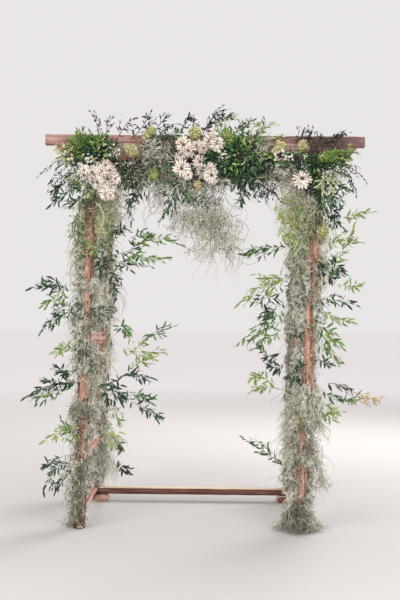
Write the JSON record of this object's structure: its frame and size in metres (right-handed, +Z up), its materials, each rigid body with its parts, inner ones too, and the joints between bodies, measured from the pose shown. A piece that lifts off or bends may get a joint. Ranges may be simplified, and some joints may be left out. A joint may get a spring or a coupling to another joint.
{
  "type": "wedding chuppah",
  "caption": "Rustic cedar wedding chuppah: natural poles carry a board header and side rails, dressed with Spanish moss, greenery and daisies.",
  "frame": {"origin": "centre of the bounding box, on the ground", "axes": "+X to the right and +Y to the rear as seen from the front, +Z up"},
  "size_m": [2.16, 1.2028, 2.596],
  "materials": {
    "pole_wood": "rough peeled cedar with remnants of bark",
    "board_wood": "weathered rough-sawn cedar",
    "rail_wood": "rough-sawn and split cedar",
    "moss": "dry curled Spanish moss",
    "greenery": "matt leaves and stems",
    "petals": "soft matt petals"
  },
  "bodies": {
    "root": {"front_cap_board": "board_wood", "front_header_beam": "board_wood", "front_left_lower_moss": "moss", "front_left_pole": "pole_wood", "front_left_upper_moss": "moss", "front_right_lower_moss": "moss", "front_right_pole": "pole_wood", "front_right_upper_moss": "moss", "left_bottom_rail": "rail_wood", "left_daisies": "petals", "left_header_garland": "greenery", "left_lower_rail": "rail_wood", "left_middle_rail": "rail_wood", "left_moss_curtain": "moss", "left_top_rail": "rail_wood", "middle_header_garland": "greenery", "middle_lower_daisies": "petals", "middle_moss_curtain": "moss", "middle_upper_daisies": "petals", "rear_ground_beam": "board_wood", "rear_header_board": "board_wood", "rear_header_moss": "moss", "rear_left_billet": "rail_wood", "rear_left_lower_moss": "moss", "rear_left_pole": "pole_wood", "rear_left_upper_moss": "moss", "rear_right_billet": "rail_wood", "rear_right_lower_moss": "moss", "rear_right_pole": "pole_wood", "rear_right_upper_moss": "moss", "right_bottom_rail": "rail_wood", "right_daisies": "petals", "right_header_garland": "greenery", "right_lower_rail": "rail_wood", "right_middle_rail": "rail_wood", "right_moss_curtain": "moss", "right_top_rail": "rail_wood"}
  },
  "joints": []
}
